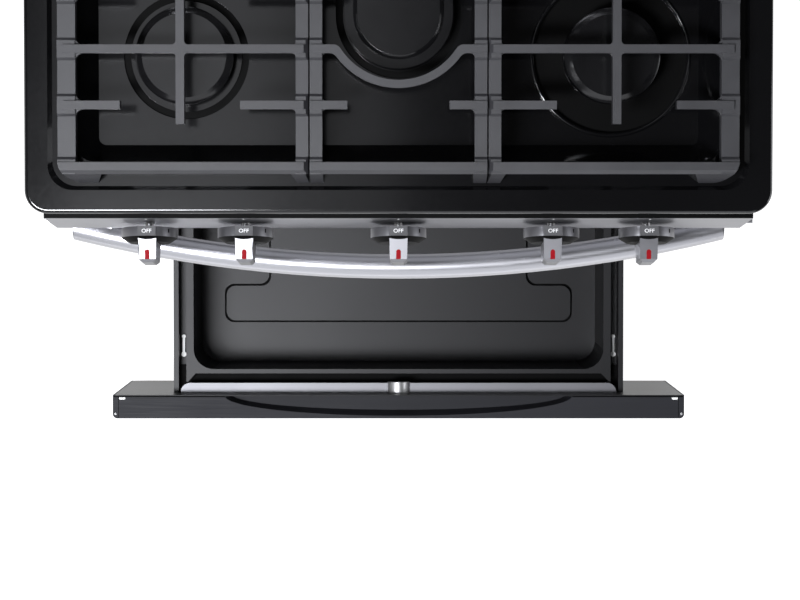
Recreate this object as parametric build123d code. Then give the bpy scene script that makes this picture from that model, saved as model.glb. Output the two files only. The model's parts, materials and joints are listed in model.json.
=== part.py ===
from build123d import *
import os
from math import atan2, cos, sin, sqrt

# Freestanding gas range with its storage drawer standing open. Millimetres.
# +X is the user's right, +Y goes to the wall behind the range and +Z is up.
# The origin is on the floor, in the middle of the box that the open range fills.

# ---- Driving dimensions ----
WIDTH = 757.0             # cooktop, edge to edge
RIM_Z = 927.0             # cooktop rim above the floor
SKIRT_H = 22.0            # height of the cooktop's turned-down edge
BODY_DEPTH = 650.0        # cooktop's front edge to the back of the body
PAN_DEPTH = 556.0         # cooktop's front edge to the backguard
TOP_Z = 1190.0            # top of the backguard
SHEET = 1.5               # steel sheet
DOOR_PROUD = 12.0         # door face in front of the cooktop's edge
DRAWER_OPEN = 270.0       # how far the drawer stands open here

SIDE_X = 376.0            # outer face of the side panels
FRONT_W = 755.0           # door and drawer front
DOOR_Z = (256.0, 806.0)
DOOR_T = 45.0
DRAWER_Z = (42.0, 249.0)
DRAWER_T = 31.0
SCOOP_FLOOR = 225.0       # floor of the finger pocket in the drawer front's top
SEAM = 1.2                # gap between the drawer front's top and its back plate
HINGE_IN, HINGE_UP = 14.0, 14.0   # door hinge axis from the door's face and its lower edge

FRAME_Y = 38.0            # front face of the face frame, behind the cooktop's edge
CAVITY_X, CAVITY_Y, CAVITY_Z = 302.0, 540.0, (318.0, 752.0)
LEDGE_Z = (400.0, 480.0, 560.0, 640.0)
RACK_LEVELS = (0, 2)

CONSOLE_X = 362.5
CONSOLE_Z = (815.0, 904.5)
CONSOLE_TOP_PROUD, CONSOLE_LOW_PROUD = 5.0, 17.0
KNOB_X = {"left_front": -259.0, "left_rear": -159.0, "center": 0.0,
          "right_rear": 159.0, "right_front": 258.0}
KNOB_Z = 860.0
STEM_R, STEM_CLEAR = 4.0, 0.08

BURNER_X, BURNER_FRONT, BURNER_REAR = 218.0, 161.0, 395.0
OVAL_HALF = 75.0          # half the straight length of the centre burner
WELL_Z = 881.0
LEDGE_TOP = 921.0         # where the grates stand
CAP_Z = (899.0, 909.0)
GROOVE = (57.0, 64.5, 2.4)          # ring pressed into the well's floor: inner and outer radius, depth
DISH = (49.0, 78.5, 6.0)            # the same for the dish round the wide burner
BEAD = (81.0, 2.2)                  # raised ring round that dish: its radius and its thickness

GRATE_TOP, GRATE_PAD, GRATE_LOW, GRATE_UNDER = 954.0, 951.5, 948.5, 941.0
GRATE_Y = (40.0, 516.0)
GRATE_OUT, GRATE_IN, GRATE_GAP = 341.0, 89.5, 1.5

TRAY_X = 274.5
TRAY_Z = (74.0, 205.0)
TRAY_FRONT, TRAY_DEPTH = 61.5, 415.0    # inner front wall behind the drawer's face, and inner length
SLIDE_X, SLIDE_W = 294.4, 6.6
SLIDE_LONG = 445.0
LEVER_X, LEVER_D, LEVER_Z = 289.5, (80.0, 104.0), (183.0, 186.0)

HANDLE_Z, HANDLE_R = 748.0, 13.5
HANDLE_X, HANDLE_END, HANDLE_MID = 354.0, 17.5, 60.5

# ---- Places ----
FRONT = (DOOR_PROUD + DRAWER_OPEN - BODY_DEPTH) / 2
DRAWER_FACE = -DOOR_PROUD - DRAWER_OPEN
HINGE = (-DOOR_PROUD + HINGE_IN, DOOR_Z[0] + HINGE_UP)
MID_PAN = PAN_DEPTH / 2
TILT = atan2(CONSOLE_LOW_PROUD - CONSOLE_TOP_PROUD, CONSOLE_Z[1] - CONSOLE_Z[0])
OUTWARD = (0, -cos(TILT), sin(TILT))     # straight out of the console's face
LOW = (Align.CENTER, Align.CENTER, Align.MIN)


# ---- Helpers: y is always given behind the cooktop's front edge ----
def block(x, y, z):
    size = [b - a for a, b in (x, y, z)]
    return Pos((x[0] + x[1]) / 2, FRONT + (y[0] + y[1]) / 2, (z[0] + z[1]) / 2) * Box(*size)


def rod(start, end, radius):
    a = Vector(start[0], FRONT + start[1], start[2])
    run = Vector(end[0], FRONT + end[1], end[2]) - a
    return Plane(origin=a, z_dir=run) * Cylinder(radius, run.length, align=LOW)


def prism(points, x):
    """A side outline of (y, z) points, pushed out from x[0] to x[1]."""
    outline = Polyline(*[(x[0], FRONT + y, z) for y, z in points], close=True)
    return extrude(make_face(outline), x[1] - x[0], dir=(1, 0, 0))


def plate(inset, z, radius, width=WIDTH, depth=PAN_DEPTH):
    """Upright plate with rounded plan corners, inset from the cooktop's outline."""
    shape = RectangleRounded(width - 2 * inset, depth - 2 * inset, radius)
    return Pos(0, FRONT + depth / 2, z[0]) * extrude(shape, z[1] - z[0])


def taper(inset, z, radius):
    """Solid between two rounded rectangles, each inset from the cooktop's outline."""
    rings = [Pos(0, FRONT + MID_PAN, z[i]) *
             RectangleRounded(WIDTH - 2 * inset[i], PAN_DEPTH - 2 * inset[i], radius[i]) for i in (0, 1)]
    return loft(rings, ruled=True)


def tube(points, radius, bend):
    path = FilletPolyline(*[(x, FRONT + y, z) for x, y, z in points], radius=bend)
    start = Plane(origin=path @ 0, z_dir=path % 0)
    return sweep(start * Circle(radius), path=path)


def stadium(half, radius, z):
    shape = Rot(0, 0, 90) * extrude(SlotCenterToCenter(2 * half, 2 * radius), z[1] - z[0])
    return Pos(0, FRONT + MID_PAN, z[0]) * shape


def mirrored(shape):
    return mirror(shape, about=Plane.YZ)


def pair(shape):
    return Compound(children=[shape, mirrored(shape)])


def group(solids):
    return Compound(children=[s for shape in solids for s in shape.solids()])


def knob_point(x, out):
    """Point on a knob's axis, so far out of the console's face."""
    face_y = -(CONSOLE_TOP_PROUD + CONSOLE_LOW_PROUD) / 2
    return (x, face_y + out * OUTWARD[1], KNOB_Z + out * OUTWARD[2])


def burner_places():
    return {"left_front": (-BURNER_X, BURNER_FRONT), "left_rear": (-BURNER_X, BURNER_REAR),
            "right_rear": (BURNER_X, BURNER_REAR), "right_front": (BURNER_X, BURNER_FRONT)}


# ---- Body ----
def leveling_feet():
    feet = []
    for x in (-345, 345):
        for y in (62, 618):
            pad = rod((x, y, 0), (x, y, 8), 19)
            nut = rod((x, y, 27), (x, y, 34), 9)
            feet.append(pad + nut + rod((x, y, 8), (x, y, 50), 5))
    return group(feet)


def base_frame():
    edge, span, low, high, flange = 372.0, (42.0, 645.0), 34.0, 60.0, 46.0

    def ring(inset, top):
        hole = block((-edge + inset, edge - inset), (span[0] + inset, span[1] - inset), (low, top))
        return block((-edge, edge), span, (low, top)) - hole

    frame = ring(2, high) + ring(flange, low + 2)
    for x in (-345, 345):
        for y in (62, 618):
            frame -= rod((x, y, low - 1), (x, y, low + 3), 5.08)
    return frame


def side_panel():
    outer, inner = -SIDE_X, -SIDE_X + SHEET
    span = (FRAME_Y, BODY_DEPTH - SHEET)
    wall = block((outer, inner), span, (40, 904))
    foot = block((inner, inner + 22), (span[0] + 4, span[1] - 4), (60, 60 + SHEET))
    top = block((inner, inner + 20), (75, 540), (904 - SHEET, 904))
    return wall + foot + top


def rear_panel():
    panel = block((-SIDE_X, SIDE_X), (BODY_DEPTH - SHEET, BODY_DEPTH), (40, 905.5))
    panel -= rod((-250, BODY_DEPTH - 5, 140), (-250, BODY_DEPTH + 5, 140), 27)
    panel -= rod((300, BODY_DEPTH - 5, 130), (300, BODY_DEPTH + 5, 130), 11)
    for z in (250, 270, 290, 800, 820, 840):
        panel -= block((-150, 150), (BODY_DEPTH - 5, BODY_DEPTH + 5), (z, z + 6))
    return panel


def front_frame():
    span = (FRAME_Y, FRAME_Y + SHEET)
    edge = SIDE_X - SHEET
    sheet = block((-edge, edge), span, (DOOR_Z[0], CONSOLE_Z[0]))
    return sheet - block((-CAVITY_X, CAVITY_X), span, CAVITY_Z)


def slide_cabinet_rails():
    x0, x1 = SLIDE_X, SLIDE_X + SLIDE_W
    span = (45, 45 + SLIDE_LONG + 5)
    rail = block((x0, x1), span, (140, 172)) - block((x0 + 1.2, x1 - 1.2), span, (141.2, 172))
    for y in (90, 440):
        rail += block((x1, SIDE_X - SHEET), (y, y + 40), (140, 142))
    return pair(rail)


def cord_gland():
    y = BODY_DEPTH
    body = rod((300, y - 12, 130), (300, y, 130), 10.9)
    nut = rod((300, y - 12, 130), (300, y - SHEET, 130), 15)
    return body + nut - rod((300, y - 13, 130), (300, y + 1, 130), 4.5)


# ---- Oven ----
def oven_liner():
    x, y, z, t = CAVITY_X, CAVITY_Y, CAVITY_Z, SHEET
    front = FRAME_Y + SHEET
    liner = block((-x - t, x + t), (front, y + t), (z[0] - t, z[1] + t)) - block((-x, x), (front, y), z)
    for low in LEDGE_Z:
        ledge = block((x - 7, x), (front + 15, y - 10), (low, low + 6))
        liner += ledge + mirrored(ledge)
    return liner


def oven_insulation():
    y = (FRAME_Y + SHEET + 2, CAVITY_Y + 2)
    wrap = block((-330, 330), (y[0], 568), (290, 780))
    return wrap - block((-304, 304), y, (CAVITY_Z[0] - 2, CAVITY_Z[1] + 2))


def oven_floor_plate():
    z = (CAVITY_Z[0] + 0.2, 342)
    floor = block((-300.5, 300.5), (50, 538), z) - block((-299, 299), (49, 539), (z[0], z[1] - SHEET))
    for side in (-1, 1):
        for i in range(8):
            y = 90 + 52 * i
            mid = side * 255
            floor -= block((mid - 14, mid + 14), (y, y + 8), (z[1] - 5, z[1] + 1))
    return floor


def bake_burner():
    z = 328
    path = [(-90, 538, z), (-90, 110, z), (90, 110, z), (90, 480, z)]
    return tube(path, 7, 40)


def broil_burner():
    z = 728
    loop = tube([(-110, 539, z), (-110, 120, z), (110, 120, z), (110, 480, z)], 7, 45)
    for x, y in ((-110, 300), (110, 300), (0, 120)):
        loop += rod((x, y, z + 4), (x, y, CAVITY_Z[1]), 2.5)
    return loop


def oven_lamp():
    y = CAVITY_Y
    return rod((-205, y, 690), (-205, y - 4, 690), 32) + rod((-205, y - 3, 690), (-205, y - 14, 690), 26)


def temperature_sensor():
    y = CAVITY_Y
    return rod((205, y, 700), (205, y - 1.5, 700), 11) + rod((205, y, 700), (205, y - 95, 700), 2.4)


def door_gasket():
    y = (DOOR_T - DOOR_PROUD + 0.2, FRAME_Y)
    x, z = CAVITY_X, CAVITY_Z
    ring = block((-x - 12, x + 12), y, (z[0] - 12, z[1] + 12))
    return ring - block((-x - 3, x + 3), y, (z[0] - 3, z[1] + 3))


def hinge_receivers():
    y, z = HINGE
    arm = block((333, 337), (y - 6, FRAME_Y), (z - 6, z + 8))
    foot = block((326, 344), (FRAME_Y - SHEET, FRAME_Y), (z - 6, z + 40))
    return pair(arm + foot + rod((326, y, z), (344, y, z), 4))


# ---- Door ----
def hinge_slot():
    """Room in the door's foot for a hinge receiver, in every door position."""
    y, z = HINGE
    return block((325, 345), (y - 10, DOOR_T), (DOOR_Z[0] - 1, z + 46))


def cut_slots(shape):
    slot = hinge_slot()
    return shape - slot - mirrored(slot)


def door_skin():
    half, z, t = FRONT_W / 2, DOOR_Z, SHEET
    y = (-DOOR_PROUD, DOOR_T - DOOR_PROUD - t)
    skin = block((-half, half), y, z) - block((-half + t, half - t), (y[0] + t, y[1]), (z[0] + t, z[1] - t))
    skin -= block((-245, 245), (y[0] - 1, y[0] + 5), (385, 655))
    for i in range(-6, 7):
        skin -= block((45 * i - 15, 45 * i + 15), (8, 16), (z[1] - 3, z[1] + 1))
    return cut_slots(skin)


def door_outer_glass():
    return block((-262, 262), (-DOOR_PROUD + SHEET, -DOOR_PROUD + SHEET + 4), (368, 672))


def door_liner():
    half, z = FRONT_W / 2, DOOR_Z
    back = DOOR_T - DOOR_PROUD
    panel = block((-half, half), (back - SHEET, back), z)
    well = block((-232, 232), (8, back - SHEET), (398, 642))
    return cut_slots(panel + well - block((-230, 230), (7, back + 1), (400, 640)))


def door_inner_glass():
    return block((-229.5, 229.5), (12, 16), (400.5, 639.5))


def door_hinge_arms():
    y, z = HINGE
    span, rise = (y - 7, y + 8), (z - 6, z + 150)
    cheeks = block((328, 331), span, rise) + block((339, 342), span, rise)
    web = block((328, 342), (y - 7, y - 5), (z + 50, z + 150))
    return pair(cheeks + web - rod((320, y, z), (350, y, z), 4.06))


def door_handle():
    y_end, y_mid = FRONT - HANDLE_END, FRONT - HANDLE_MID
    path = ThreePointArc((-HANDLE_X, y_end, HANDLE_Z), (0, y_mid, HANDLE_Z), (HANDLE_X, y_end, HANDLE_Z))
    bar = sweep(Plane(origin=path @ 0, z_dir=path % 0) * Circle(HANDLE_R), path=path)
    beyond = block((-400, 400), (-DOOR_PROUD, 60), (700, 800))
    ends = block((HANDLE_X, 400), (-100, 60), (700, 800))
    rise = (HANDLE_Z - 11, HANDLE_Z + 11)
    foot = block((HANDLE_X - 42, HANDLE_X - 1), (-HANDLE_END - 4, -DOOR_PROUD), rise)
    return bar - beyond - ends - mirrored(ends) + foot + mirrored(foot)


# ---- Cooktop ----
RIM_STEP = (24.0, 28.0)
WELL_WALL = (53.0, 70.0)
CORNERS = {"outline": 24.0, "step": 25.0, "wall": 16.0}


def pressed_ring(place, ring, half, grow):
    """Ring pressed into the well's floor, with a straight half length of half, or round where that is 0."""
    inner, outer, depth = ring
    z = (WELL_Z - depth - grow, WELL_Z)
    if half:
        return stadium(half, outer + grow, z) - stadium(half, inner - grow, z)
    disc = rod((*place, z[0]), (*place, z[1]), outer + grow)
    return disc - rod((*place, z[0]), (*place, z[1]), inner - grow)


def cooktop():
    low = RIM_Z - SKIRT_H
    cap = plate(0, (low, RIM_Z), CORNERS["outline"])
    cap = fillet(cap.faces().sort_by(Axis.Z)[-1].edges(), 4)
    cap -= plate(SHEET, (low, RIM_Z - SHEET), CORNERS["outline"] - SHEET)

    def hollow(grow):
        step, wall = CORNERS["step"], CORNERS["wall"]
        upper = taper([i - grow for i in RIM_STEP], (RIM_Z, LEDGE_TOP - grow), (step, step))
        lower = taper([i - grow for i in WELL_WALL], (LEDGE_TOP, WELL_Z - grow), (wall, wall / 2))
        return upper + lower

    pan = cap + hollow(SHEET) - hollow(0)
    for name, place in burner_places().items():
        ring = DISH if name == "right_front" else GROOVE
        pan = pan + pressed_ring(place, ring, 0, SHEET) - pressed_ring(place, ring, 0, 0)
        pan -= rod((*place, WELL_Z - 10), (*place, WELL_Z + 10), 23)
    wide = burner_places()["right_front"]
    pan += Pos(wide[0], FRONT + wide[1], WELL_Z) * Torus(*BEAD)
    middle = (0, MID_PAN)
    pan = pan + pressed_ring(middle, GROOVE, OVAL_HALF, SHEET) - pressed_ring(middle, GROOVE, OVAL_HALF, 0)
    for side in (-1, 1):
        y = MID_PAN + side * OVAL_HALF
        pan -= rod((0, y, WELL_Z - 10), (0, y, WELL_Z + 10), 23)
    return pan


def burner_head(x, y, slots=24):
    head = rod((x, y, WELL_Z - 27), (x, y, WELL_Z), 22)
    head += rod((x, y, WELL_Z), (x, y, WELL_Z + 4), 39.5)
    head += rod((x, y, WELL_Z + 4), (x, y, CAP_Z[0]), 36)
    port = Pos(36, 0, WELL_Z + 13) * Box(9, 2, 7)
    for i in range(slots):
        head -= Pos(x, FRONT + y, 0) * Rot(0, 0, 360 / slots * i) * port
    return head


def burner_heads():
    heads = [burner_head(x, y) for x, y in burner_places().values()]
    oval = stadium(OVAL_HALF, 39.5, (WELL_Z, WELL_Z + 4)) + stadium(OVAL_HALF, 36, (WELL_Z + 4, CAP_Z[0]))
    for side in (-1, 1):
        y = MID_PAN + side * OVAL_HALF
        oval += rod((0, y, WELL_Z - 27), (0, y, WELL_Z), 22)
    return group(heads + [oval])


def burner_caps():
    caps = []
    for name, (x, y) in burner_places().items():
        radius = 48.7 if name == "right_front" else 50.0
        disc = rod((x, y, CAP_Z[0]), (x, y, CAP_Z[1]), radius)
        caps.append(chamfer(disc.faces().sort_by(Axis.Z)[-1].edges(), 3.5, 7))
    step = CAP_Z[0] + 4.5
    base = stadium(OVAL_HALF, 55.5, (CAP_Z[0], step))
    oval = stadium(OVAL_HALF, 46, (step - 1, CAP_Z[1]))
    caps.append(base + chamfer(oval.faces().sort_by(Axis.Z)[-1].edges(), 4))
    return group(caps)


def spark_electrodes():
    pins = []
    spots = list(burner_places().values()) + [(0, MID_PAN)]
    for x, y in spots:
        reach = 44.0
        px = x + reach if x <= 0 else x - reach
        tip = WELL_Z + 11
        pins.append(rod((px, y, WELL_Z), (px, y, tip), 3.2) + rod((px, y, tip), (px, y, tip + 4), 1.2))
    return group(pins)


# ---- Grates ----
PADS = (109.0, 165.0, 221.0, MID_PAN, PAN_DEPTH - 221, PAN_DEPTH - 165, PAN_DEPTH - 109)
PAD_FLAT, PAD_LOW = 8.6, 11.4       # half length of a rail's raised pad, at its top and at its foot
FINGER = 8.5
RAIL_OUT, RAIL_IN = 18.0, 12.5      # width of an outer and of an inner side rail


def grate_rail(x):
    """A side rail whose top is raised a little where a bar meets it."""
    y0, y1 = GRATE_Y
    top = [(y0, GRATE_PAD)]
    stops = [y0 + 6] + list(PADS) + [y1 - 6]
    for i, mid in enumerate(stops):
        if i > 0:
            top += [(mid - PAD_LOW, GRATE_LOW), (mid - PAD_FLAT, GRATE_PAD)]
        if i < len(stops) - 1:
            top += [(mid + PAD_FLAT, GRATE_PAD), (mid + PAD_LOW, GRATE_LOW)]
    top += [(y1, GRATE_PAD)]
    return prism(top + [(y1, GRATE_UNDER - 6), (y0, GRATE_UNDER - 6)], x)


def plan_bar(x, y):
    """A bar in plan: x is its span, and y its span or its middle line."""
    if isinstance(y, float):
        y = (y - FINGER / 2, y + FINGER / 2)
    return Pos((x[0] + x[1]) / 2, FRONT + (y[0] + y[1]) / 2) * Rectangle(x[1] - x[0], y[1] - y[0])


def inner_corners(plan):
    """Corners where two bars meet: three of the four points round them are metal."""
    face = plan.faces()[0]
    corners = []
    for v in plan.vertices():
        metal = [face.is_inside(Vector(v.X + i, v.Y + j, 0)) for i in (-1, 1) for j in (-1, 1)]
        if sum(metal) == 3:
            corners.append(v)
    return corners


def both_halves(front):
    return front + mirror(front, about=Plane(origin=(0, FRONT + MID_PAN, 0), z_dir=(0, 1, 0)))


def cast(plan, top):
    """Bars of a grate, front and rear, from the plan of its front half."""
    return both_halves(Pos(0, 0, GRATE_UNDER) * extrude(plan, top - GRATE_UNDER))


def grate_leg(top, foot):
    """A foot that leans forward from the front rail to the cooktop's ledge, between two spans of x."""
    y0 = GRATE_Y[0]
    high = Pos(0, 0, GRATE_TOP - 4) * plan_bar(top, (y0, y0 + 12))
    low = Pos(0, 0, LEDGE_TOP) * plan_bar(foot, (y0 - 9, y0 + 2))
    return loft([high, low], ruled=True)


def frame_bars(x, rails, legs):
    """Front and rear rails, side rails and feet of one grate."""
    y0, foot = GRATE_Y[0], GRATE_UNDER - 6
    y1 = y0 + 12
    front = prism([(y0 + 4, GRATE_TOP), (y1, GRATE_TOP), (y1, foot), (y0, foot), (y0, GRATE_TOP - 4)], x)
    for top, low in legs:
        front += grate_leg(top, low)
    return both_halves(front) + grate_rail(rails[0]) + grate_rail(rails[1])


def side_plan(left, right):
    """Bars of a side grate's front half; the long finger's corners are rounded."""
    plan = plan_bar((-BURNER_X - FINGER / 2, -BURNER_X + FINGER / 2), (90, 240))
    for y in (165.0, MID_PAN):
        plan += plan_bar((left, right), y)
    plan = fillet([v for v in inner_corners(plan) if abs(v.X + BURNER_X) < FINGER], 4)
    return plan


def side_tips(left, right):
    """Short fingers of a side grate's front half."""
    spans = [(x, y) for y in (109.0, 221.0) for x in ((left, -278), (-158, right))]
    tips = plan_bar(*spans[0])
    for x, y in spans[1:]:
        tips += plan_bar(x, y)
    return tips


def grate_side():
    """The left grate; the right one is its mirror image."""
    left, right = -GRATE_OUT, -GRATE_IN - GRATE_GAP / 2
    rails = ((left, left + RAIL_OUT), (right - RAIL_IN, right))
    legs = (((left, left + 44), (left, left + 37)), ((right - 17, right - 3), (right - RAIL_IN, right)))
    bars = side_plan(left + 6, right) + side_tips(left + 6, right)
    flared = bars + plan_bar(rails[0], (60, 320)) + plan_bar(rails[1], (60, 320))
    flared = fillet([v for v in inner_corners(flared) if v.X < left + 30], 8)
    flared = fillet(inner_corners(flared), 4)
    grate = frame_bars((left, right), rails, legs) + cast(flared, GRATE_LOW) + cast(bars, GRATE_TOP)
    return (grate & round_outline(left)) - edge_bevel(right)


def edge_bevel(x):
    """Wedge off the upper edge of a side grate, where it faces the centre grate."""
    outline = Polyline((x - 4.4, FRONT, GRATE_TOP), (x, FRONT, GRATE_LOW), (x + 5, FRONT, GRATE_LOW),
                       (x + 5, FRONT, GRATE_TOP + 1), (x - 4.4, FRONT, GRATE_TOP + 1), close=True)
    return extrude(make_face(outline), PAN_DEPTH, dir=(0, 1, 0))


def round_outline(outer):
    """Upright block, wider than a grate, whose outer corners are rounded to the cooktop's ledge."""
    body = block((outer, 0), (GRATE_Y[0] - 9, GRATE_Y[1] + 9), (LEDGE_TOP - 1, GRATE_TOP + 1))
    return fillet(body.edges().filter_by(Axis.Z).sort_by(Axis.X)[:2], 24)


def curved_bar(half):
    """The centre grate's bar that dips round the front of the oval burner, in plan."""
    y, stub_y, radius = MID_PAN - OVAL_HALF, 165.0, 73.0
    ring = Pos(0, FRONT + y) * (Circle(radius + 4) - Circle(radius - 4))
    reach = sqrt(radius ** 2 - (stub_y - y) ** 2)
    plan = ring & plan_bar((-half, half), (y - 90, stub_y + FINGER / 2))
    plan += plan_bar((-half, -reach), stub_y) + plan_bar((reach, half), stub_y)
    return fillet([v for v in plan.vertices() if 50 < abs(v.X) < 70], 9)


def grate_center():
    half = GRATE_IN - GRATE_GAP / 2
    rails = ((-half, -half + RAIL_IN), (half - RAIL_IN, half))
    legs = (((-half, -half + 13),) * 2, ((half - 13, half),) * 2)
    bars = curved_bar(half)
    for y in (109.0, 221.0, MID_PAN):
        bars += plan_bar((-half, -51), y) + plan_bar((51, half), y)
    joined = bars + plan_bar(rails[0], (60, 320)) + plan_bar(rails[1], (60, 320))
    joined = fillet(inner_corners(joined), 4)
    return frame_bars((-half, half), rails, legs) + cast(joined, GRATE_LOW) + cast(bars, GRATE_TOP)


# ---- Gas train ----
def burner_tubes():
    z, start = 864.0, 50.2
    tubes = []
    for name, (x, y) in burner_places().items():
        from_x, end = KNOB_X[name], y - 22.4
        points = [(from_x, start, z), (from_x, end - 60, z), (x, end - 30, z), (x, end, z)]
        tubes.append(tube(points, 3.2, 10))
    centre_end = MID_PAN - OVAL_HALF - 22.4
    tubes.append(rod((0, start, z), (0, centre_end, z), 3.2))
    return group(tubes)


def gas_manifold():
    return block((-330, 330), (52, 74), (826, 848))


def burner_valves():
    valves = []
    for x in KNOB_X.values():
        body = block((x - 13, x + 13), (16, 50), (832, 872)) + block((x - 8, x + 8), (50, 52), (830, 846))
        valves.append(body - rod(knob_point(x, 0), knob_point(x, -52), STEM_R + STEM_CLEAR))
    return group(valves)


def gas_regulator():
    x, y, z = -250.0, 590.0, 140.0
    body = rod((x, y, z - 26), (x, y, z + 26), 34) + rod((x, y, z + 26), (x, y, z + 42), 16)
    port = rod((x, y, z), (x, BODY_DEPTH - 4, z), 17)
    return body + port - rod((x, BODY_DEPTH - 30, z), (x, BODY_DEPTH - 3, z), 9.3)


def supply_pipe():
    x, y, z = -250.0, 590.0, 182.0
    return tube([(x, y, z), (x, y, 804), (-320, y, 804), (-320, 63, 804), (-320, 63, 826)], 7, 14)


# ---- Console and knobs ----
def control_panel():
    low, high = CONSOLE_Z
    back, t = FRAME_Y - 0.5, SHEET
    top, bottom = CONSOLE_TOP_PROUD, CONSOLE_LOW_PROUD
    shell = prism([(-bottom, low), (-top, high), (back, high), (back, low)], (-CONSOLE_X, CONSOLE_X))
    inner = prism([(-bottom + t, low + t), (-top + t, high - t), (back + 1, high - t), (back + 1, low + t)],
                  (-CONSOLE_X + t, CONSOLE_X - t))
    shell -= inner
    for x in KNOB_X.values():
        shell -= rod(knob_point(x, -6), knob_point(x, 6), 6)
    return shell


def valve_stem(x):
    return rod(knob_point(x, -44), knob_point(x, 30), STEM_R)


def knob(x):
    """Skirt with a flat pad on top, coned face and a standing bar grip, built along its own axis."""
    face = Plane(origin=(x, FRONT + knob_point(x, 0)[1], KNOB_Z), x_dir=(1, 0, 0), z_dir=OUTWARD)
    skirt = Pos(0, 0, 6) * Cylinder(29, 10, align=LOW)
    pad = Pos(0, 22, 6) * Box(18.6, 7.4, 10, align=(Align.CENTER, Align.MIN, Align.MIN))
    cone = Pos(0, 0, 16) * Cone(29, 21, 5, align=LOW)
    grip = loft([Pos(0, 0, 14) * Rectangle(18.8, 50), Pos(0, 0, 42.4) * Rectangle(17.8, 38)], ruled=True)
    grip = chamfer(grip.faces().sort_by(Axis.Z)[-1].edges(), 3.2)
    hollow = Pos(0, 0, 6) * (Cylinder(26.5, 8, align=LOW) - Cylinder(9, 8, align=LOW))
    bore = Pos(0, 0, 5) * Cylinder(STEM_R + STEM_CLEAR, 26, align=LOW)
    return face * (skirt + pad + cone + grip - hollow - bore)


# ---- Backguard ----
def backguard_profile(inset):
    front, back, low, top = 558 + inset, BODY_DEPTH - inset, 905.5, TOP_Z - inset
    return [(front, low), (front, 950), (front + 42, top - 7), (front + 49, top), (back, top), (back, low)]


def backguard_housing():
    half = WIDTH / 2
    hollow = prism(backguard_profile(SHEET), (-half + SHEET, half - SHEET))
    return prism(backguard_profile(0), (-half, half)) - hollow


def display_glass():
    run, rise = 42.0, 233.0
    length = sqrt(run ** 2 + rise ** 2)
    face = Plane(origin=(0, FRONT + 558 + run * 0.55, 950 + rise * 0.55), x_dir=(1, 0, 0),
                 z_dir=(0, -rise / length, run / length))
    return face * extrude(RectangleRounded(380, 110, 6), 3)


def flue_grille():
    bar = block((-330, 330), (555.0, 557.8), (929, 946))
    for i in range(-15, 16):
        bar -= block((20 * i - 7, 20 * i + 7), (554, 559), (933, 942))
    return bar


# ---- Oven racks ----
def oven_rack(level):
    z = LEDGE_Z[level] + 6 + 3.2
    x, y0, y1 = 297.0, 65.0, 522.0
    rack = rod((-x, y0, z), (-x, y1, z), 3)
    for start, end in (((x, y0, z), (x, y1, z)), ((-x, y0, z), (x, y0, z)), ((-x, y1, z), (x, y1, z)),
                       ((-x, 290, z), (x, 290, z))):
        rack += rod(start, end, 3)
    for corner in ((-x, y0), (x, y0), (-x, y1), (x, y1)):
        rack += Pos(corner[0], FRONT + corner[1], z) * Sphere(3)
    count = 17
    for i in range(1, count):
        bar_x = -x + 2 * x * i / count
        rack += rod((bar_x, y0, z + 4), (bar_x, y1, z + 4), 2)
    return rack


# ---- Storage drawer: d is measured behind the drawer's face ----
def behind(d):
    return DRAWER_FACE + d


def scoop(grow, over):
    """Finger pocket behind the drawer front's face: an ellipse that narrows towards its floor."""
    rings = []
    for z in (SCOOP_FLOOR - grow, DRAWER_Z[1] + over):
        rise = (z - SCOOP_FLOOR) / (DRAWER_Z[1] - SCOOP_FLOOR)
        ring = Ellipse(222 + 7 * rise + grow, 20.5 + 5.5 * rise + grow)
        rings.append(Pos(0, FRONT + behind(DRAWER_T - SHEET), z) * ring)
    return loft(rings, ruled=True)


def drawer_front():
    half, z, t = FRONT_W / 2, DRAWER_Z, SHEET
    y = (behind(0), behind(DRAWER_T))
    front = block((-half, half), y, z)
    front = fillet(front.edges().filter_by(Axis.Z).sort_by(Axis.Y)[:2], 6)
    inside = block((-half + t, half - t), (y[0] + t, y[1]), (z[0] + t, z[1] - t))
    pocket = scoop(t, 0) & inside
    pocket_hole = scoop(0, 1) & block((-half, half), (y[0], y[1] - t), (z[0], z[1] + 2))
    seam = block((-half + t, half - t), (y[1] - t - SEAM, y[1] + 1), (z[1] - t - 1, z[1] + 1))
    back = block((-half + t, half - t), (y[1] - t, y[1] + 1), (z[0] + t, z[1] + 1))
    return front - (inside - pocket) - pocket_hole - seam - back


def drawer_back_plate():
    half, z, t = FRONT_W / 2 - SHEET, DRAWER_Z, SHEET
    return block((-half, half), (behind(DRAWER_T - t), behind(DRAWER_T)), (z[0] + t, z[1]))


def tray_plan(grow, z, radius):
    shape = RectangleRounded(2 * (TRAY_X + grow), TRAY_DEPTH + 2 * grow, radius)
    return Pos(0, FRONT + behind(TRAY_FRONT) + TRAY_DEPTH / 2, z[0]) * extrude(shape, z[1] - z[0])


def tray_rim():
    """Flat rim round the tray, with cut corners at its front."""
    side, front, back = 284.4, behind(44.5), behind(TRAY_FRONT + TRAY_DEPTH + 10)
    right = [(271.6, behind(55.7)), (side - 2, front), (side, front), (side, back)]
    left = [(-x, y) for x, y in reversed(right)]
    outline = Polyline(*[(x, FRONT + y, TRAY_Z[1] - SHEET) for x, y in left + right], close=True)
    return extrude(make_face(outline), SHEET, dir=(0, 0, 1))


def tray_apron():
    """Low shelf in front of the tray and at its front corners, under the front rail."""
    low = 184.5
    return block((-SLIDE_X, SLIDE_X), (behind(DRAWER_T), behind(TRAY_FRONT + 4)), (low, low + SHEET))


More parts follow.
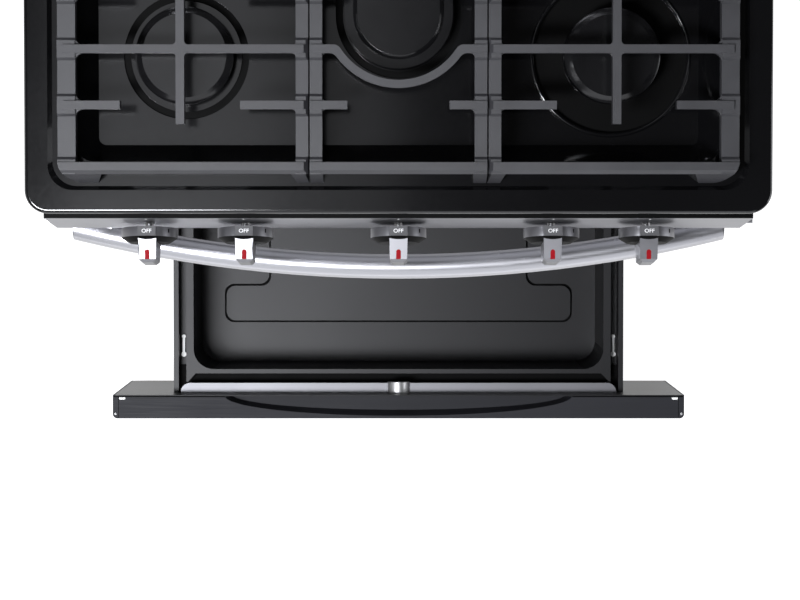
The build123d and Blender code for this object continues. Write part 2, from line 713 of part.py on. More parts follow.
def floor_outline(grow):
    """Raised panel of the tray's floor: wide at the front, then narrower, with round corners."""
    front = behind(TRAY_FRONT + 57)
    wide, narrow, bar = 240 + grow, 178 + grow, 48.6
    back = behind(TRAY_FRONT + TRAY_DEPTH - 60)
    right = [(wide, front - grow), (wide, front + bar + grow), (narrow, front + bar + grow), (narrow, back)]
    left = [(-x, y) for x, y in reversed(right)]
    face = make_face(Polyline(*[(x, FRONT + y) for x, y in right + left], close=True))
    return fillet(face.vertices(), 13)


def floor_ring(outer, inner, z):
    """Band round the raised panel, between two offsets of its outline."""
    band = floor_outline(outer) - floor_outline(inner)
    return Pos(0, 0, z[0]) * extrude(band, z[1] - z[0])


def drawer_tray():
    """Enamelled tray; its floor panel is raised inside a pressed groove."""
    low, high = TRAY_Z
    t, radius = SHEET, 27.0
    tray = tray_plan(t, (low - t, high), radius + t) + (tray_rim() - tray_plan(t, (low, high), radius + t))
    tray += tray_apron() - tray_plan(0, (low, high), radius + t)
    tray -= tray_plan(0, (low, high + 1), radius)
    raised = 3.5
    tray += Pos(0, 0, low - 0.2) * extrude(floor_outline(0), raised + 0.2)
    tray -= Pos(0, 0, low - t - 1) * extrude(floor_outline(-t), raised + 1)
    tray += floor_ring(3.8, -t, (low - 4, low - 0.1))
    tray -= floor_ring(2.6, 0, (low - 2.8, low + 1))
    return tray


def drawer_front_rail():
    span = (behind(DRAWER_T), behind(44))
    bar = block((-291, 291), span, (196, 216))
    corners = bar.edges().filter_by(Axis.Z).sort_by(Axis.Y)[-2:]
    bar = fillet(corners, 12.5)
    hollow = block((-278, 278), span, (195, 214))
    return bar - hollow


def drawer_catch():
    boss = rod((0, behind(DRAWER_T), 216), (0, behind(46), 216), 14.5)
    return boss - block((-20, 20), (behind(20), behind(60)), (190, 216))


def drawer_slide_rails():
    x0, x1 = SLIDE_X, SLIDE_X + SLIDE_W
    span = (behind(DRAWER_T), behind(DRAWER_T + 15 + SLIDE_LONG))
    rail = block((x0, x1), span, (176, 207)) - block((x0 + 1.2, x1 - 1.2), span, (176, 205.8))
    web = block((TRAY_X + SHEET, x0), (behind(64), behind(455)), (178, 179.5))
    return pair(rail + web + lever_pin(0.8))


def slide_middle_rails():
    half = DRAWER_OPEN / 2
    bar = block((SLIDE_X + 1.7, SLIDE_X + SLIDE_W - 1.7), (40 - half, 40 + SLIDE_LONG - half), (142, 204.5))
    return pair(bar)


def lever_pin(radius):
    z = sum(LEVER_Z) / 2
    return rod((285, behind(LEVER_D[1]), z), (SLIDE_X, behind(LEVER_D[1]), z), radius)


def release_lever():
    """Small keyhole-shaped lever beside the slide; its rear end hangs on a pin."""
    arm = block((LEVER_X - 1.6, LEVER_X + 1.6), [behind(d) for d in LEVER_D], LEVER_Z)
    for d, radius in zip(LEVER_D, (3.4, 2.6)):
        arm += rod((LEVER_X, behind(d), LEVER_Z[0]), (LEVER_X, behind(d), LEVER_Z[1]), radius)
    return arm - lever_pin(0.86)


# ---- Write one file per piece ----
NODES = {
    "leveling_feet": leveling_feet(), "base_frame": base_frame(), "side_panel_left": side_panel(),
    "side_panel_right": mirrored(side_panel()), "rear_panel": rear_panel(), "front_frame": front_frame(),
    "slide_cabinet_rails": slide_cabinet_rails(), "cord_gland": cord_gland(), "oven_liner": oven_liner(),
    "oven_insulation": oven_insulation(), "oven_floor_plate": oven_floor_plate(),
    "bake_burner": bake_burner(),
    "broil_burner": broil_burner(), "oven_lamp": oven_lamp(), "temperature_sensor": temperature_sensor(),
    "door_gasket": door_gasket(), "hinge_receivers": hinge_receivers(), "door_skin": door_skin(),
    "door_outer_glass": door_outer_glass(), "door_liner": door_liner(),
    "door_inner_glass": door_inner_glass(),
    "door_hinge_arms": door_hinge_arms(), "door_handle": door_handle(), "cooktop": cooktop(),
    "burner_heads": burner_heads(), "burner_caps": burner_caps(), "spark_electrodes": spark_electrodes(),
    "grate_left": grate_side(), "grate_right": mirrored(grate_side()), "grate_center": grate_center(),
    "burner_tubes": burner_tubes(), "gas_manifold": gas_manifold(), "burner_valves": burner_valves(),
    "gas_regulator": gas_regulator(), "supply_pipe": supply_pipe(), "control_panel": control_panel(),
    "backguard_housing": backguard_housing(), "display_glass": display_glass(), "flue_grille": flue_grille(),
    "oven_rack_lower": oven_rack(RACK_LEVELS[0]), "oven_rack_upper": oven_rack(RACK_LEVELS[1]),
    "drawer_front": drawer_front(), "drawer_back_plate": drawer_back_plate(), "drawer_tray": drawer_tray(),
    "drawer_front_rail": drawer_front_rail(), "drawer_catch": drawer_catch(),
    "drawer_slide_rails": drawer_slide_rails(), "slide_middle_rails": slide_middle_rails(),
    "release_lever_right": release_lever(), "release_lever_left": mirrored(release_lever()),
}
for place, x in KNOB_X.items():
    NODES["knob_" + place] = knob(x)
    NODES["valve_stem_" + place] = valve_stem(x)

os.makedirs("parts", exist_ok=True)
for name, shape in NODES.items():
    export_step(shape, "parts/" + name + ".step")
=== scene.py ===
"""Looks of the freestanding gas range: materials, fine detail, floor, light and camera."""
import json
from math import cos, pi, radians, sin

import bmesh
import bpy
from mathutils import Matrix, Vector


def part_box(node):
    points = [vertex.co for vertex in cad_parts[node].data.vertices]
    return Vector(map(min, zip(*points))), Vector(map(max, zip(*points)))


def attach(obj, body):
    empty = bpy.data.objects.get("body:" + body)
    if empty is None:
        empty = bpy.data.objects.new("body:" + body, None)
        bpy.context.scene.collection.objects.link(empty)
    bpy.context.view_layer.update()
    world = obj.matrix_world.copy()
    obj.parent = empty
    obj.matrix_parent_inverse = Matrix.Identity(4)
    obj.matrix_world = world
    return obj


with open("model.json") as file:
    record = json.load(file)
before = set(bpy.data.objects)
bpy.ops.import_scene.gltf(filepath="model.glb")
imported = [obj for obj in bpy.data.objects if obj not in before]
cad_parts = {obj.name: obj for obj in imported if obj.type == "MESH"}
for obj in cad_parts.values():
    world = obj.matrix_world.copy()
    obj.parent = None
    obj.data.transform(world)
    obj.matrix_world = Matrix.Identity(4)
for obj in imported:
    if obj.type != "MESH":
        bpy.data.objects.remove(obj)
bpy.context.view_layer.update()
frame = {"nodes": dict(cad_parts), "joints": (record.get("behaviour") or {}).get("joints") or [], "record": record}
nodes = frame["nodes"]
scene = bpy.context.scene
MM = 0.001


# ---- Camera: almost straight above the cooktop's front edge ----
CAMERA_ABOVE_RIM = 2.234
CAMERA_BEHIND_EDGE = 0.038
CAMERA_TILT = 1.81
FOCAL = 99.45
SHIFT = (0.0019, -0.0675)

rim_low, rim_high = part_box("cooktop")
EDGE_Y = rim_low.y
RIM_Z = rim_high.z

camera = bpy.data.objects.new("camera", bpy.data.cameras.new("camera"))
camera.data.lens = FOCAL
camera.data.shift_x, camera.data.shift_y = SHIFT
camera.location = (0, EDGE_Y + CAMERA_BEHIND_EDGE, RIM_Z + CAMERA_ABOVE_RIM)
camera.rotation_euler = (radians(-CAMERA_TILT), 0, 0)
scene.collection.objects.link(camera)
scene.camera = camera
scene.view_settings.view_transform = "Standard"


# ---- Materials ----
def new_material(name):
    mat = bpy.data.materials.new(name)
    mat.use_nodes = True
    tree = mat.node_tree
    return mat, tree, tree.nodes["Principled BSDF"]


def grain(tree, scale, detail=4.0, stretch=(1, 1, 1)):
    """Noise in the object's own space, in features per metre.

    It is drawn out along an axis where stretch is small.
    """
    where = tree.nodes.new("ShaderNodeTexCoord")
    mapping = tree.nodes.new("ShaderNodeMapping")
    mapping.inputs["Scale"].default_value = stretch
    noise = tree.nodes.new("ShaderNodeTexNoise")
    noise.inputs["Scale"].default_value = scale
    noise.inputs["Detail"].default_value = detail
    tree.links.new(where.outputs["Object"], mapping.inputs["Vector"])
    tree.links.new(mapping.outputs["Vector"], noise.inputs["Vector"])
    return noise.outputs["Fac"]


def ramp_between(tree, factor, low, high, spread=(0.3, 0.7)):
    """Value that goes from low to high with the noise."""
    node = tree.nodes.new("ShaderNodeMapRange")
    node.inputs["From Min"].default_value, node.inputs["From Max"].default_value = spread
    node.inputs["To Min"].default_value, node.inputs["To Max"].default_value = low, high
    tree.links.new(factor, node.inputs["Value"])
    return node.outputs["Result"]


def vary_colour(tree, factor, colour, share, spread=(0.3, 0.7)):
    """Colour that gets darker and lighter by share with the noise."""
    mix = tree.nodes.new("ShaderNodeMix")
    mix.data_type = "RGBA"
    mix.inputs["A"].default_value = (*[c * (1 - share) for c in colour], 1)
    mix.inputs["B"].default_value = (*[min(1, c * (1 + share)) for c in colour], 1)
    tree.links.new(ramp_between(tree, factor, 0, 1, spread), mix.inputs["Factor"])
    return mix.outputs["Result"]


def add_bump(tree, shader, factor, depth):
    """Relief of the given depth in metres, from the same noise as the gloss."""
    bump = tree.nodes.new("ShaderNodeBump")
    bump.inputs["Distance"].default_value = depth
    bump.inputs["Strength"].default_value = 1.0
    tree.links.new(factor, bump.inputs["Height"])
    tree.links.new(bump.outputs["Normal"], shader.inputs["Normal"])


def finish_of(name, colour, metallic=0.0, roughness=(0.3, 0.4), blotch=8.0, share=0.06, fine=900.0,
              bump=0.0, specular=0.5):
    """Painted, enamelled or metal surface: slow blotches of colour and gloss over a fine grain.

    blotch and fine are features per metre, share is how far the colour varies, bump is the grain's depth.
    """
    mat, tree, shader = new_material(name)
    slow = grain(tree, blotch, 3.0)
    small = grain(tree, fine, 3.0)
    tree.links.new(vary_colour(tree, slow, colour, share), shader.inputs["Base Color"])
    rough = tree.nodes.new("ShaderNodeMath")
    rough.operation = "ADD"
    half = (roughness[1] - roughness[0]) / 2
    tree.links.new(ramp_between(tree, slow, roughness[0], roughness[0] + half), rough.inputs[0])
    tree.links.new(ramp_between(tree, small, 0, half), rough.inputs[1])
    tree.links.new(rough.outputs[0], shader.inputs["Roughness"])
    shader.inputs["Metallic"].default_value = metallic
    shader.inputs["Specular IOR Level"].default_value = specular
    if bump:
        add_bump(tree, shader, small, bump)
    return mat


BRUSH_LINES = 1400.0            # per metre, across the brushing
BRUSH_STRETCH = (0.012, 1, 1)   # the brushing runs from side to side


def brushed(name, colour, roughness, depth=0.00002, share=0.10, metallic=1.0, specular=0.5, tint=1.0):
    """Brushed surface: long fine scratches in colour, gloss and bump."""
    mat, tree, shader = new_material(name)
    lines = grain(tree, BRUSH_LINES, 2.0, BRUSH_STRETCH)
    slow = grain(tree, 6.0, 2.0)
    tree.links.new(vary_colour(tree, lines, colour, share, (0.25, 0.75)), shader.inputs["Base Color"])
    rough = tree.nodes.new("ShaderNodeMath")
    rough.operation = "ADD"
    tree.links.new(ramp_between(tree, lines, roughness * 0.85, roughness * 1.1), rough.inputs[0])
    tree.links.new(ramp_between(tree, slow, 0, roughness * 0.15), rough.inputs[1])
    tree.links.new(rough.outputs[0], shader.inputs["Roughness"])
    shader.inputs["Metallic"].default_value = metallic
    shader.inputs["Specular IOR Level"].default_value = specular
    shader.inputs["Specular Tint"].default_value = (tint, tint, tint, 1)
    add_bump(tree, shader, lines, depth)
    return mat


def glass(name, colour, alpha, roughness=0.03):
    """Smooth pane that lets light through where alpha is below 1."""
    mat = finish_of(name, colour, 0.0, (roughness, roughness + 0.02), share=0.2, fine=300)
    mat.node_tree.nodes["Principled BSDF"].inputs["Alpha"].default_value = alpha
    return mat


# finish_of takes: colour, metallic, roughness from and to, blotch, share, fine, bump.
MATERIALS = {
    "black_porcelain": finish_of("black_porcelain", (0.003, 0.003, 0.0034), 0, (0.11, 0.14), 5, 0.2, 240),
    # A darker, less glossy copy of the drawer's enamel: painted shade on the tray's walls.
    "painted_shade_enamel_wall": finish_of("painted_shade_enamel_wall", (0.003, 0.003, 0.0035), 0, (0.40, 0.48), 6, 0.1, 1500,
                             0.00001, specular=0.12),
    "cast_iron_grate": finish_of("cast_iron_grate", (0.028, 0.028, 0.031), 0, (0.44, 0.52), 20, 0.18,
                                 1400, 0.00022, specular=0.40),
    "cap_black": finish_of("cap_black", (0.005, 0.005, 0.0055), 0, (0.13, 0.18), 30, 0.12, 1100, 0.00001),
    "burner_alloy": finish_of("burner_alloy", (0.30, 0.30, 0.31), 0.9, (0.40, 0.60), 30, 0.15, 700,
                              0.00008),
    "stainless": brushed("stainless", (0.46, 0.46, 0.48), 0.32, tint=0.46),
    "handle_steel": brushed("handle_steel", (0.40, 0.40, 0.42), 0.31, depth=0.0000002, share=0.01),
    "knob_silver": finish_of("knob_silver", (0.18, 0.18, 0.19), 0.9, (0.36, 0.42), 40, 0.04, 1800,
                             0.00001),
    "drawer_enamel": finish_of("drawer_enamel", (0.007, 0.007, 0.008), 0, (0.38, 0.43), 6, 0.08, 1500,
                               0.00003, specular=0.24),
    "drawer_face": brushed("drawer_face", (0.018, 0.0185, 0.022), 0.50, share=0.12, metallic=0.0,
                           specular=0.14),
    "knob_pad": finish_of("knob_pad", (0.08, 0.08, 0.083), 0.0, (0.40, 0.48), 40, 0.06, 1800, 0.00001,
                          specular=0.20),
    "drawer_rail_silver": finish_of("drawer_rail_silver", (0.15, 0.15, 0.16), 0.6, (0.38, 0.46), 12,
                                    0.05, 1500, 0.00002),
    "side_paint": finish_of("side_paint", (0.02, 0.02, 0.021), 0, (0.45, 0.6), 10, 0.10, 900, 0.0001),
    "galvanised": finish_of("galvanised", (0.46, 0.48, 0.49), 0.8, (0.35, 0.55), 60, 0.14, 500, 0.00003),
    "zinc_part": finish_of("zinc_part", (0.5, 0.5, 0.5), 0.9, (0.3, 0.5), 40, 0.10, 800, 0.00003),
    "chrome_wire": finish_of("chrome_wire", (0.72, 0.72, 0.74), 1.0, (0.10, 0.18), 30, 0.05, 900, 0.00001),
    "oven_enamel": finish_of("oven_enamel", (0.015, 0.018, 0.03), 0, (0.18, 0.30), 15, 0.1, 1500, 0.00002),
    "wool": finish_of("wool", (0.72, 0.64, 0.36), 0, (0.85, 0.95), 40, 0.2, 600, 0.002),
    "smoked_glass": glass("smoked_glass", (0.02, 0.02, 0.022), 0.72),
    "display": glass("display", (0.006, 0.006, 0.008), 1.0, 0.05),
    "clear_glass": glass("clear_glass", (0.8, 0.84, 0.83), 0.25),
    "gasket_cord": finish_of("gasket_cord", (0.16, 0.16, 0.17), 0, (0.7, 0.9), 60, 0.2, 900, 0.0006),
    "brass_part": finish_of("brass_part", (0.60, 0.42, 0.16), 1.0, (0.25, 0.4), 40, 0.1, 700, 0.00002),
    "tube_alloy": finish_of("tube_alloy", (0.65, 0.65, 0.66), 0.95, (0.25, 0.4), 40, 0.08, 900, 0.00001),
    "pipe_black": finish_of("pipe_black", (0.03, 0.03, 0.03), 0.2, (0.4, 0.6), 40, 0.15, 900, 0.00005),
    # White for the drawer's clips: a painted highlight.
    "white_plastic": finish_of("white_plastic", (0.86, 0.86, 0.84), 0, (0.4, 0.5), 40, 0.04, 900, 0.00002),
    # Dull black for the ticks and seams, also used as painted shade in grooves, in the tray's gap and under the
    # cooktop's lip, and as a painted dark reflection on the knobs' cone faces.
    "black_plastic": finish_of("black_plastic", (0.002, 0.002, 0.002), 0, (0.50, 0.6), 40, 0.1, 900,
                               0.00003, specular=0.04),
    "electrode_ceramic": finish_of("electrode_ceramic", (0.82, 0.80, 0.74), 0, (0.15, 0.3), 40, 0.05, 900,
                                   0.00001),
    "marker_red": finish_of("marker_red", (0.22, 0.004, 0.008), 0, (0.5, 0.6), 60, 0.08, 900, 0.00001,
                            specular=0.06),
    "print_white": finish_of("print_white", (0.80, 0.80, 0.80), 0, (0.5, 0.6), 60, 0.03, 900),
}


# ---- CAD nodes: each keeps its shape, gets its slot's material and softly rounded edges ----
EDGE_MM = {"cast_iron_grate": 0.7, "black_porcelain": 1.2, "knob_silver": 0.8, "drawer_enamel": 0.8,
           "drawer_face": 0.9, "cap_black": 0.8}
OTHER_EDGE_MM = 0.4
SEAM_GAP = 0.00002
SHARP_ANGLE = radians(32)


def soften(obj, width):
    """Joins the mesh's seams and rounds its sharp edges."""
    weld = obj.modifiers.new("weld", "WELD")
    weld.merge_threshold = SEAM_GAP
    bevel = obj.modifiers.new("edges", "BEVEL")
    bevel.width = width
    bevel.segments = 3
    bevel.limit_method = "ANGLE"
    bevel.angle_limit = SHARP_ANGLE
    bevel.use_clamp_overlap = True
    bevel.harden_normals = False


slot_of = {part["node"]: part["material_slot"] for part in frame["record"]["subparts"]}
for name, obj in nodes.items():
    slot = slot_of[name]
    obj.data.materials.clear()
    obj.data.materials.append(MATERIALS[slot])
    soften(obj, EDGE_MM.get(slot, OTHER_EDGE_MM) * MM)


# ---- Faces of a node that get another material: painted shade on the console's top, in the tray and in the cooktop's grooves; zinc on the catch ----
LEVEL, FLAT, STEEP = 0.9, 0.95, 0.6          # limits of the upward part of a face's normal
WELL_FLOOR, GROOVE_LOWEST = 0.881, 0.860     # heights of the cooktop's floor and below its grooves
APRON = (0.18, 0.1865)                       # heights between which the tray's apron lies
APRON_DEPTH = 0.04
TRAY_SHEET = 4.0 * MM                        # from the tray's underside to its floor
TRAY_GROOVE = (3.1 * MM, 0.5 * MM)           # the groove's bottom lies this far below the floor


def repaint(node, material, chosen):
    """Gives the faces of a node that are chosen another material."""
    mesh = nodes[node].data
    mesh.materials.append(MATERIALS[material])
    for poly in mesh.polygons:
        if chosen(poly.center, poly.normal):
            poly.material_index = len(mesh.materials) - 1


console_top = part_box("control_panel")[1].z
tray_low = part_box("drawer_tray")[0]
tray_floor = tray_low.z + TRAY_SHEET

# Painted shade: the console's top face, under the cooktop's lip, is painted a dull black.
repaint("control_panel", "black_plastic", lambda p, n: n.z > LEVEL and p.z > console_top - 1 * MM)
# Painted shade: the up-facing apron in the gap at the tray's front is painted a dull black.
repaint("drawer_tray", "black_plastic",
        lambda p, n: n.z > LEVEL and APRON[0] < p.z < APRON[1] and p.y < tray_low.y + APRON_DEPTH)
# Painted shade: the flat bottoms of the cooktop's grooves, below its well floor, are painted a dull black.
repaint("cooktop", "black_plastic",
        lambda p, n: n.z > FLAT and GROOVE_LOWEST < p.z < WELL_FLOOR - 1 * MM)
# Painted shade: the tray's walls get a darker, duller copy of its enamel.
repaint("drawer_tray", "painted_shade_enamel_wall", lambda p, n: abs(n.z) < STEEP)
repaint("drawer_catch", "zinc_part", lambda p, n: True)
# Painted shade: the flat bottom of the groove in the tray's floor is painted a dull black.
repaint("drawer_tray", "black_plastic",
        lambda p, n: n.z > LEVEL and tray_floor - TRAY_GROOVE[0] < p.z < tray_floor - TRAY_GROOVE[1])


# ---- Fine detail: thin pieces and screws ----
def add_piece(name, mesh, material, body):
    """Puts a mesh in the scene as a piece that rides on a body."""
    obj = bpy.data.objects.new(name, mesh)
    mesh.materials.clear()
    mesh.materials.append(MATERIALS[material])
    scene.collection.objects.link(obj)
    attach(obj, body)
    return obj


def extruded(name, outline, offset):
    """Mesh between a closed outline and the same outline moved by offset."""
    bm = bmesh.new()
    low = [bm.verts.new(p) for p in outline]
    high = [bm.verts.new(Vector(p) + offset) for p in outline]
    bm.faces.new(low)
    bm.faces.new(list(reversed(high)))
    for i, vert in enumerate(low):
        j = (i + 1) % len(low)
        bm.faces.new((vert, high[i], high[j], low[j]))
    bmesh.ops.recalc_face_normals(bm, faces=bm.faces)
    mesh = bpy.data.meshes.new(name)
    bm.to_mesh(mesh)
    bm.free()
    return mesh


LATHE_STEPS = 24
RECESS = 0.35 * MM


def lathe(name, place, normal, profile, cross=0.0):
    """Mesh of a profile of (radius, height) turned about the normal.

    A cross recess is sunk into it inside the radius given as cross.
    """
    normal = Vector(normal).normalized()
    side = normal.orthogonal().normalized()
    other = normal.cross(side)
    bm = bmesh.new()
    rings = []
    for radius, height in profile:
        ring = []
        for i in range(LATHE_STEPS):
            angle = 2 * pi * i / LATHE_STEPS
            arm = abs(sin(2 * angle)) < 0.5 and radius < cross
            depth = height - (RECESS if arm else 0)
            ring.append(bm.verts.new(Vector(place) + side * radius * cos(angle) + other * radius * sin(angle)
                                     + normal * depth))
        rings.append(ring)
    for low, high in zip(rings, rings[1:]):
        for i in range(LATHE_STEPS):
            j = (i + 1) % LATHE_STEPS
            bm.faces.new((low[i], low[j], high[j], high[i]))
    bm.faces.new(rings[0])
    bm.faces.new(rings[-1])
    bmesh.ops.recalc_face_normals(bm, faces=bm.faces)
    mesh = bpy.data.meshes.new(name)
    bm.to_mesh(mesh)
    bm.free()
    for poly in mesh.polygons:
        poly.use_smooth = True
    return mesh


# A pan head's profile as (radius, height), both in shares of its radius.
SCREW = [(1.0, 0.0), (1.0, 0.12), (0.92, 0.26), (0.72, 0.36), (0.55, 0.40), (0.36, 0.41), (0.12, 0.41)]


SCREW_CROSS = 0.62


def screw(name, place, normal, radius, body):
    """Pan-head screw with a cross recess."""
    profile = [(r * radius, h * radius) for r, h in SCREW]
    mesh = lathe(name, place, normal, profile, cross=SCREW_CROSS * radius)
    add_piece(name, mesh, "zinc_part", body)


# ---- Knobs: painted dark reflection on the cone's face, red marker, lettering. Heights run along the knob's axis, from the console ----
SKIRT_FACE, CONE_FACE = 16.05 * MM, 21.05 * MM
PAD_TOP = 29.4 * MM                          # from the axis
GRIP_BASE, GRIP_TIP = (14.0 * MM, 25.0 * MM), (42.4 * MM, 19.0 * MM)    # height, distance from axis
FACES_UP = 0.98
MARKER_HALF, MARKER_Z = 2.35 * MM, (29.6 * MM, 39.4 * MM)
MARKER_STEPS = 12
MARKER_PROUD = 0.25 * MM
LETTER_SIZE, LETTER_THICK, LETTER_PROUD = 5.6 * MM, 0.04 * MM, 0.05 * MM
LETTER_WIDEN = 1.06
LETTER_Z = 11.2 * MM
SKIRT_RADIUS = 29.05 * MM
TICK_ANGLE, TICK_Z = radians(48), 10 * MM
TICK_PROUD = 0.1 * MM
# Corners of the tick: distance to the right, rise over the skirt, height.
TICK = ((21.2 * MM, 0.35 * MM, -2 * MM), (22.2 * MM, -0.55 * MM, -2 * MM), (22.2 * MM, -0.55 * MM, 2 * MM),
        (21.2 * MM, 0.35 * MM, 2 * MM))
MARK_HALF, MARK_FROM, MARK_TO = 0.7 * MM, 33 * MM, 38 * MM
MARK_PROUD = 0.15 * MM


def grip_face(z):
    """Distance of the grip's upper face from the axis, at a height."""
    share = (z - GRIP_BASE[0]) / (GRIP_TIP[0] - GRIP_BASE[0])
    return GRIP_BASE[1] + share * (GRIP_TIP[1] - GRIP_BASE[1])


def marker_outline(point):
    """Red bar on the grip's upper face, round at its lower end."""
    outline = [point(MARKER_HALF, grip_face(MARKER_Z[1]), MARKER_Z[1])]
    round_z = MARKER_Z[0] + MARKER_HALF
    for i in range(MARKER_STEPS + 1):
        angle = pi * i / MARKER_STEPS
        z = round_z - MARKER_HALF * sin(angle)
        outline.append(point(MARKER_HALF * cos(angle), grip_face(z), z))
    outline.append(point(-MARKER_HALF, grip_face(MARKER_Z[1]), MARKER_Z[1]))
    return outline


def off_letters(name, point):
    """Mesh of the word OFF, lying on the skirt's flat pad."""
    curve = bpy.data.curves.new(name, "FONT")
    curve.body = "OFF"
    curve.align_x, curve.align_y = "CENTER", "CENTER"
    curve.size = LETTER_SIZE
    curve.extrude = LETTER_THICK
    letters = bpy.data.objects.new(name, curve)
    mesh = bpy.data.meshes.new_from_object(letters)
    bpy.data.objects.remove(letters)
    for vert in mesh.vertices:
        x, y, z = vert.co
        vert.co = point(x * LETTER_WIDEN, PAD_TOP + LETTER_PROUD + z, LETTER_Z - y)
    return mesh


def knob_details(joint):
    """Paint, painted dark reflection on the cone's face and print of the knob that a joint turns, and its mark on
    the console.
    """
    body = joint["child"]
    start, out, right = Vector(joint["pos_m"]), Vector(joint["axis"]).normalized(), Vector((1, 0, 0))
    up = out.cross(right)

    def point(x, y, z):
        return start + right * x + up * y + out * z

    # Painted dark reflection: the cone's outward face is painted a dull black.
    repaint(body, "black_plastic",
            lambda p, n: SKIRT_FACE < (p - start).dot(out) < CONE_FACE and n.dot(out) > 0.5)
    repaint(body, "knob_pad", lambda p, n: (p - start).dot(out) < SKIRT_FACE and n.dot(up) > FACES_UP
            and (p - start).dot(up) > PAD_TOP - 1 * MM)

    mesh = extruded(body + "_marker", marker_outline(point), up * MARKER_PROUD)
    add_piece(body + "_marker", mesh, "marker_red", body)
    add_piece(body + "_off", off_letters(body + "_off", point), "print_white", body)

    tick = [point(x, SKIRT_RADIUS * cos(TICK_ANGLE) + rise, TICK_Z + z) for x, rise, z in TICK]
    mesh = extruded(body + "_tick", tick, (right + up) * TICK_PROUD)
    add_piece(body + "_tick", mesh, "black_plastic", body)

    mark = [point(x, y, 0) for x, y in ((-MARK_HALF, MARK_FROM), (MARK_HALF, MARK_FROM),
                                        (MARK_HALF, MARK_TO), (-MARK_HALF, MARK_TO))]
    mesh = extruded("console_mark_" + body, mark, out * MARK_PROUD)
    add_piece("console_mark_" + body, mesh, "print_white", "range_body")


for joint in frame["joints"]:
    if joint["name"].startswith("turn_"):
        knob_details(joint)


# ---- Drawer front: end-cap seams, screws and clips. Screws of the side panels ----
SEAM_FROM_END, SEAM_HALF, SEAM_PROUD = 7.5 * MM, 0.35 * MM, 0.08 * MM
SEAM_INSET = (1 * MM, 3 * MM)                # from the front's face and from its back
CAP_SCREW_FROM_END, CAP_SCREW_BACK, CAP_SCREW_RADIUS = 3.6 * MM, 6 * MM, 1.6 * MM
# Corners of the clip: distance from the front's end, distance from its back.
CLIP_MM = ((8.5, 3.2), (16.5, 3.2), (16.5, 5.2), (15.2, 6.0), (9.8, 6.0), (8.5, 5.2))
CLIP_THICK = 0.7 * MM
BODY_SCREW_RADIUS = 2.8 * MM
LOWER_SCREWS, LOWER_FIRST, LOWER_STEP, LOWER_RISE = 4, 0.08, 0.28, 16 * MM    # shares of the panel's depth
REAR_SCREWS, REAR_FIRST, REAR_STEP, REAR_INSET = 3, 0.25, 0.25, 14 * MM       # shares of the panel's height

front_low, front_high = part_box("drawer_front")


def drawer_details():
    """Seam, screw and clip of the end cap at each end of the drawer's front."""
    top = front_high.z
    seam_front, seam_back = front_low.y + SEAM_INSET[0], front_high.y - SEAM_INSET[1]
    for side, name in ((-1, "left"), (1, "right")):
        x = side * (front_high.x - SEAM_FROM_END)
        outline = [(x - SEAM_HALF, seam_front, top), (x + SEAM_HALF, seam_front, top),
                   (x + SEAM_HALF, seam_back, top), (x - SEAM_HALF, seam_back, top)]
        mesh = extruded("end_cap_seam_" + name, outline, Vector((0, 0, SEAM_PROUD)))
        add_piece("end_cap_seam_" + name, mesh, "black_plastic", "storage_drawer")
        place = (side * (front_high.x - CAP_SCREW_FROM_END), front_low.y + CAP_SCREW_BACK, top)
        screw("end_cap_screw_" + name, place, (0, 0, 1), CAP_SCREW_RADIUS, "storage_drawer")
        # Painted highlight: the clip is painted white for the glint on it.
        clip = [(side * (front_high.x - end * MM), front_high.y - back * MM, top) for end, back in CLIP_MM]
        mesh = extruded("end_cap_clip_" + name, clip, Vector((0, 0, CLIP_THICK)))
        add_piece("end_cap_clip_" + name, mesh, "white_plastic", "storage_drawer")


def body_screws():
    """Screws along the lower and the rear edge of each side panel."""
    for side, name in ((-1, "left"), (1, "right")):
        low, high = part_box("side_panel_" + name)
        x = low.x if side < 0 else high.x
        for i in range(LOWER_SCREWS):
            y = low.y + (high.y - low.y) * (LOWER_FIRST + LOWER_STEP * i)
            screw("side_screw_%s_%d" % (name, i), (x, y, low.z + LOWER_RISE), (side, 0, 0),
                  BODY_SCREW_RADIUS, "range_body")
        for i in range(REAR_SCREWS):
            z = low.z + (high.z - low.z) * (REAR_FIRST + REAR_STEP * i)
            screw("side_rear_screw_%s_%d" % (name, i), (x, high.y - REAR_INSET, z), (side, 0, 0),
                  BODY_SCREW_RADIUS, "range_body")


drawer_details()
body_screws()


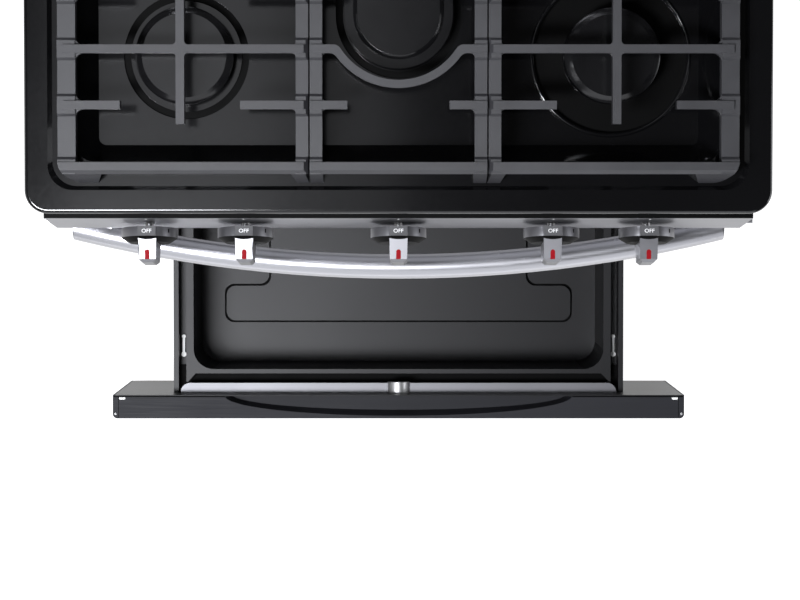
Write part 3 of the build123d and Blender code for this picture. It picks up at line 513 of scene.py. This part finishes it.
# ---- Floor and light ----
FLOOR_HALF = 60.0
FLOOR_GREY = 0.25
FLOOR_GLOW = 1.0
WORLD_LEVEL = 0.04
LAMP_COLOUR = (0.94, 0.955, 1.0)
LAMPS = (    # name, place, target, size, watts
    ("key_left", (-1.05, -0.72, 2.9), (-0.15, -0.1, 0.8), (0.4, 0.6), 46),
    ("drawer_key", (-0.58, -0.64, 2.9), (-0.2, -0.35, 0.2), (0.3, 0.5), 38),
    ("panel_far", (-0.45, 0.0, 3.02), (-0.45, 0.001, 0.0), (0.42, 3.4), 2.2),
    ("panel_near", (-0.33, 0.0, 3.03), (-0.33, 0.001, 0.0), (0.66, 3.4), 3.5),
    ("front_soft", (0, -2.6, 1.6), (0, -0.2, 0.9), (3.0, 3.2), 42),
    ("right_low", (2.4, -0.6, 1.2), (0.2, -0.2, 0.7), (1.2, 1.2), 16),
    ("left_low", (-2.4, -0.5, 1.3), (-0.2, -0.2, 0.8), (1.2, 1.2), 4),
)


def stage_floor():
    """White floor that glows a little, so that it stays white behind the object."""
    mesh = bpy.data.meshes.new("floor")
    half = FLOOR_HALF
    mesh.from_pydata([(-half, -half, 0), (half, -half, 0), (half, half, 0), (-half, half, 0)], [],
                     [(0, 1, 2, 3)])
    floor = bpy.data.objects.new("floor", mesh)
    scene.collection.objects.link(floor)
    mat, tree, shader = new_material("floor_white")
    white = vary_colour(tree, grain(tree, 3.0), (FLOOR_GREY, FLOOR_GREY, FLOOR_GREY), 0.01)
    tree.links.new(white, shader.inputs["Base Color"])
    shader.inputs["Roughness"].default_value = 0.8
    shader.inputs["Emission Color"].default_value = (1, 1, 1, 1)
    shader.inputs["Emission Strength"].default_value = FLOOR_GLOW
    mesh.materials.append(mat)


def area_light(name, place, target, size, watts):
    """Soft lamp that the camera doesn't see."""
    data = bpy.data.lights.new(name, "AREA")
    data.shape = "RECTANGLE"
    data.size, data.size_y = size
    data.energy = watts
    data.color = LAMP_COLOUR
    lamp = bpy.data.objects.new(name, data)
    lamp.location = place
    lamp.rotation_euler = (Vector(target) - Vector(place)).to_track_quat("-Z", "Y").to_euler()
    lamp.visible_camera = False
    scene.collection.objects.link(lamp)


def studio_world():
    """Faint even light from all sides."""
    world = bpy.data.worlds.new("studio")
    world.use_nodes = True
    world.node_tree.nodes["Background"].inputs["Color"].default_value = (1, 1, 1, 1)
    world.node_tree.nodes["Background"].inputs["Strength"].default_value = WORLD_LEVEL
    scene.world = world


stage_floor()
studio_world()
for lamp_values in LAMPS:
    area_light(*lamp_values)
